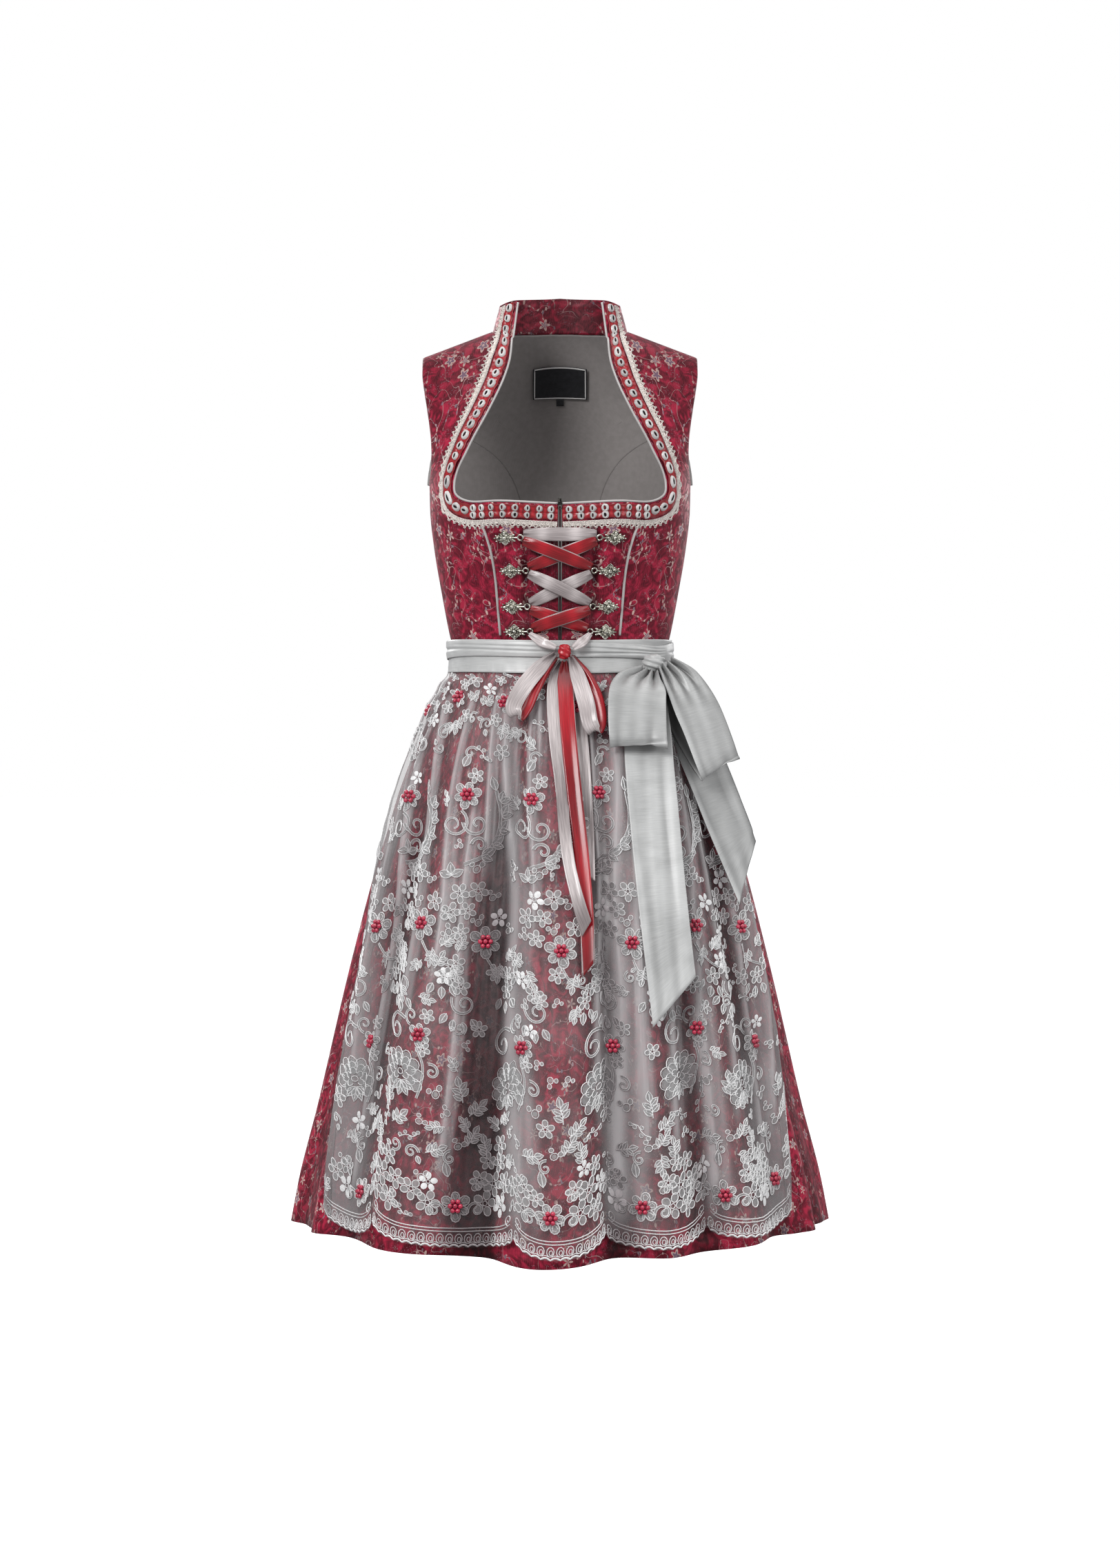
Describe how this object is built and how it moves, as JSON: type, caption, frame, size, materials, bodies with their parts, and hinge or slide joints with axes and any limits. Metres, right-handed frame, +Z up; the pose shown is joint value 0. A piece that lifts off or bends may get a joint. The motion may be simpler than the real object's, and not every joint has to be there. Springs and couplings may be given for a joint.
{
  "type": "sleeveless midi dirndl with apron",
  "caption": "Sleeveless dirndl with a stand collar, laced jacquard bodice, gathered midi skirt and sheer embroidered apron tied in a hip bow.",
  "frame": {"origin": "midway between the shoulders, where the wearer's shoulders carry the dress", "axes": "+Z up, the front faces -Y, +X towards the wearer's left"},
  "size_m": [0.6194, 0.5642, 1.0899],
  "materials": {
    "jacquard": "burgundy jacquard with woven vines and small flowers, soft sheen",
    "lining": "plain matt cotton lining",
    "red_satin": "glossy satin ribbon",
    "silver_ribbon": "glossy satin ribbon",
    "lace": "matt crochet edging",
    "piping": "satin-covered cord",
    "taffeta": "crisp taffeta with a soft sheen",
    "organza": "sheer organza with corded embroidery and beads",
    "antique_silver": "cast antique silver",
    "zip": "zip tape and coil",
    "label": "bare woven tape"
  },
  "bodies": {
    "root": {"centre_front_left": "jacquard", "centre_front_right": "jacquard", "side_front_left": "jacquard", "side_front_right": "jacquard", "side_back_left": "jacquard", "side_back_right": "jacquard", "centre_back": "jacquard", "collar": "jacquard", "skirt_front": "jacquard", "skirt_back": "jacquard", "lining_side_back_left": "lining", "lining_side_back_right": "lining", "lining_centre_back": "lining", "ruche_left": "red_satin", "ruche_right": "red_satin", "lacing_1_under": "red_satin", "lacing_1_over": "red_satin", "lacing_3_under": "red_satin", "lacing_3_over": "red_satin", "ribbon_knot": "red_satin", "ribbon_tail_red": "red_satin", "lacing_bar": "silver_ribbon", "lacing_2_under": "silver_ribbon", "lacing_2_over": "silver_ribbon", "ribbon_wrap_left": "silver_ribbon", "ribbon_wrap_right": "silver_ribbon", "ribbon_loop_right": "silver_ribbon", "ribbon_loop_left": "silver_ribbon", "ribbon_tail_silver": "silver_ribbon", "ribbon_tail_back": "silver_ribbon", "lace_edging_left": "lace", "lace_edging_right": "lace", "neck_piping_left": "piping", "neck_piping_right": "piping", "princess_piping_left": "piping", "princess_piping_right": "piping", "front_zip": "zip", "neck_label": "label", "size_tab": "label", "zip_slider": "antique_silver", "hook_left_1": "antique_silver", "hook_left_2": "antique_silver", "hook_left_3": "antique_silver", "hook_left_4": "antique_silver", "hook_right_1": "antique_silver", "hook_right_2": "antique_silver", "hook_right_3": "antique_silver", "hook_right_4": "antique_silver", "apron_waistband": "taffeta", "apron_tie": "taffeta", "sash_knot": "taffeta", "sash_loop_front": "taffeta", "sash_loop_side": "taffeta", "sash_tail_front": "taffeta", "sash_tail_side": "taffeta", "apron_panel": "organza"}
  },
  "joints": []
}
